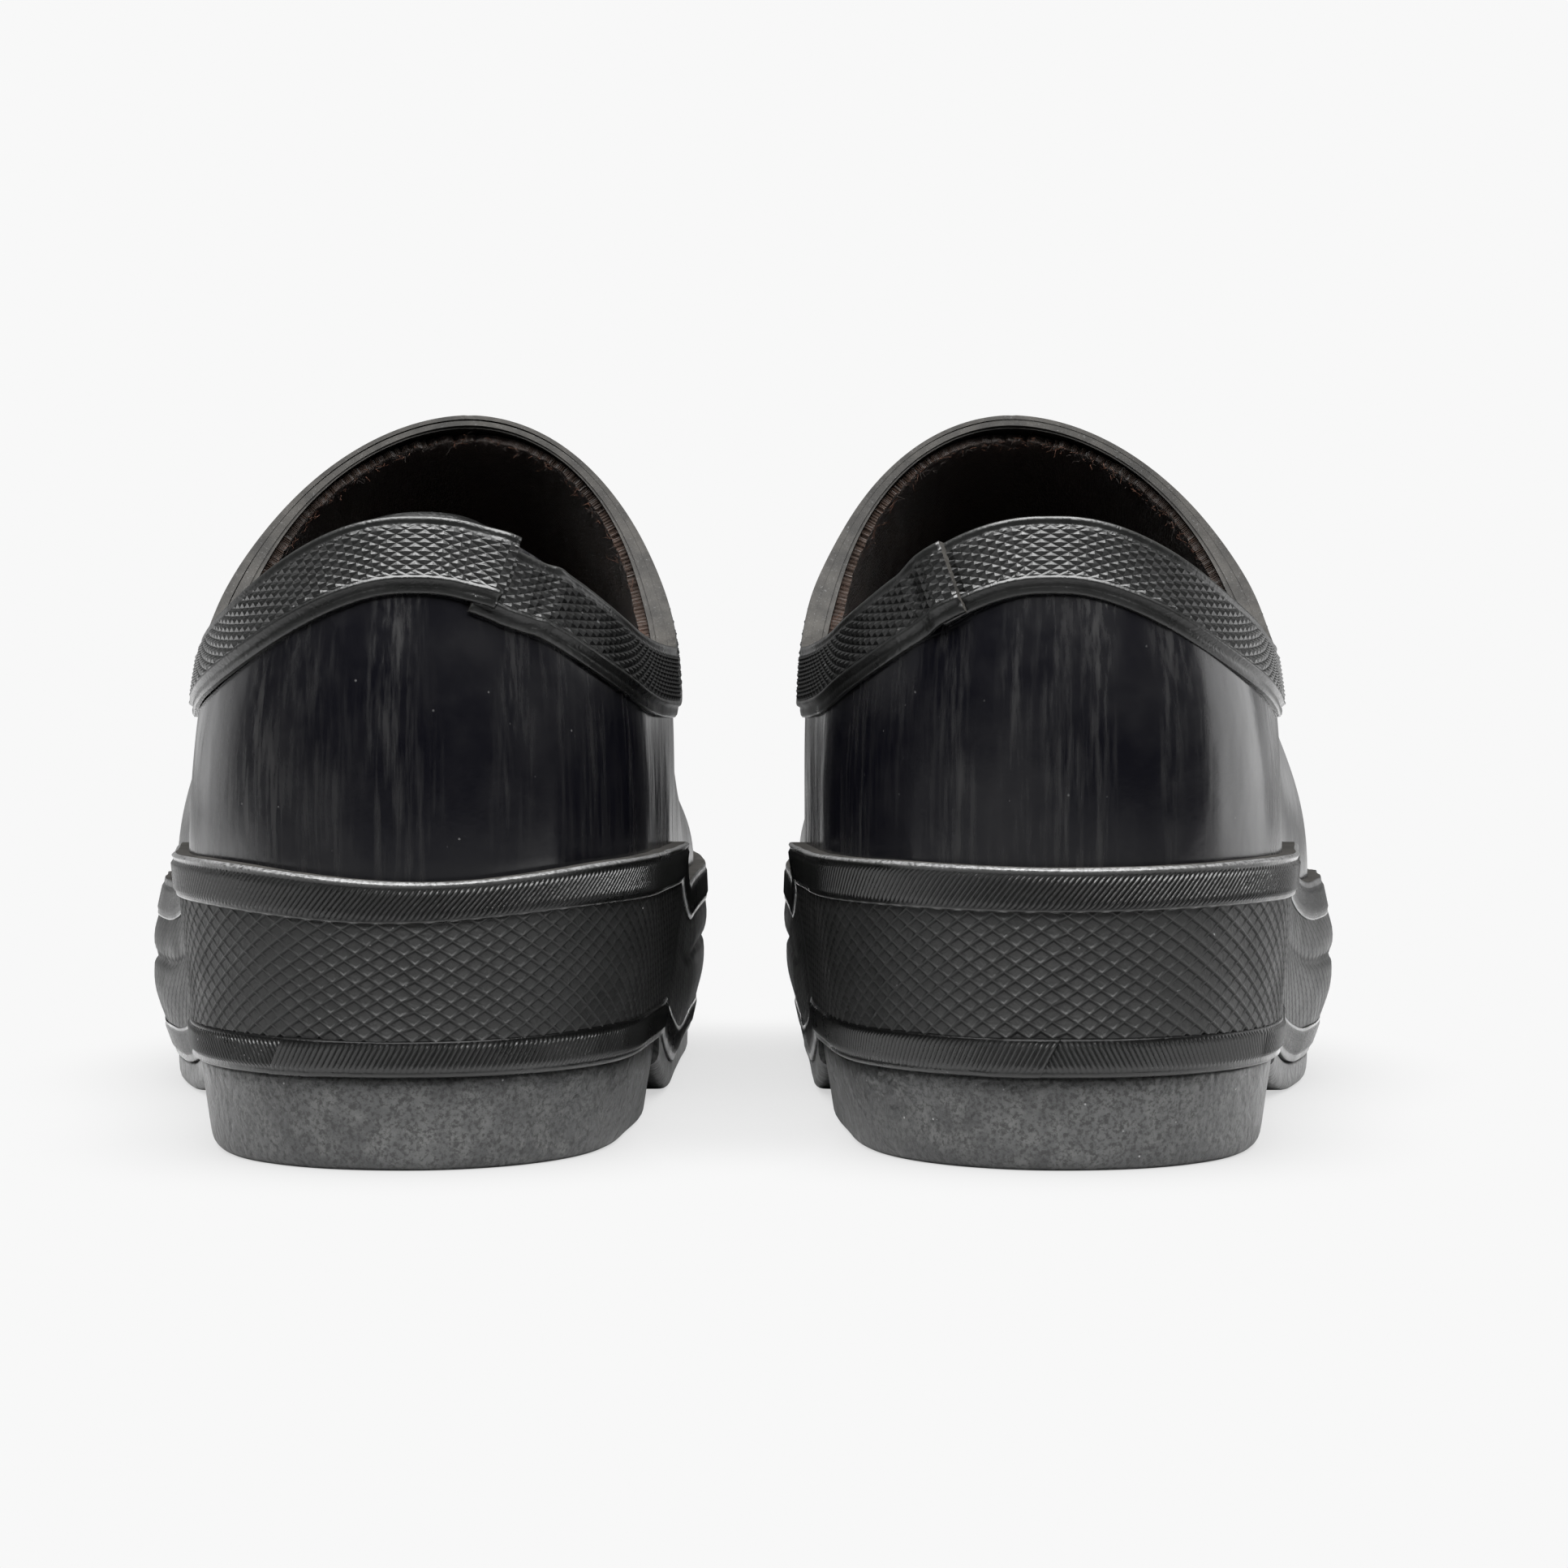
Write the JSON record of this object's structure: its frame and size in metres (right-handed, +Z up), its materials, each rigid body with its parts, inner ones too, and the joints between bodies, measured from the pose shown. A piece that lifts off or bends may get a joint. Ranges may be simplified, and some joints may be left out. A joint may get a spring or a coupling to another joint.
{
  "type": "rubber garden clogs",
  "caption": "Pair of slip-on rubber garden clogs with a low heel, a netted foxing strip, ribbed tapes and a textile lining.",
  "frame": {"origin": "on the ground, at the centre of the pair's outline", "axes": "+Y towards the toes, +Z up, right clog at +X"},
  "size_m": [0.2304, 0.2902, 0.1249],
  "materials": {
    "gloss_rubber": "semi-gloss",
    "embossed_rubber": "satin",
    "sole_rubber": "matt",
    "inner_rubber": "matt",
    "lining_knit": "knitted textile",
    "fibre_board": "matt",
    "shank_steel": "satin"
  },
  "bodies": {
    "left_clog": {"left_heel_block": "sole_rubber", "left_outsole": "sole_rubber", "left_midsole": "inner_rubber", "left_shank": "shank_steel", "left_bottom_filler": "inner_rubber", "left_insole_board": "fibre_board", "left_footbed": "lining_knit", "left_upper": "gloss_rubber", "left_heel_stiffener": "inner_rubber", "left_toe_puff": "inner_rubber", "left_lining": "lining_knit", "left_collar_facing": "gloss_rubber", "left_topline_tape": "embossed_rubber", "left_foxing": "embossed_rubber", "left_top_rib_tape": "embossed_rubber", "left_bottom_rib_tape": "embossed_rubber"},
    "right_clog": {"right_heel_block": "sole_rubber", "right_outsole": "sole_rubber", "right_midsole": "inner_rubber", "right_shank": "shank_steel", "right_bottom_filler": "inner_rubber", "right_insole_board": "fibre_board", "right_footbed": "lining_knit", "right_upper": "gloss_rubber", "right_heel_stiffener": "inner_rubber", "right_toe_puff": "inner_rubber", "right_lining": "lining_knit", "right_collar_facing": "gloss_rubber", "right_topline_tape": "embossed_rubber", "right_foxing": "embossed_rubber", "right_top_rib_tape": "embossed_rubber", "right_bottom_rib_tape": "embossed_rubber"}
  },
  "joints": [
    {"name": "right_clog_lift", "type": "slide", "parent": "left_clog", "child": "right_clog", "axis": [0, 0, 1], "range_m": [0, 0.2]}
  ]
}
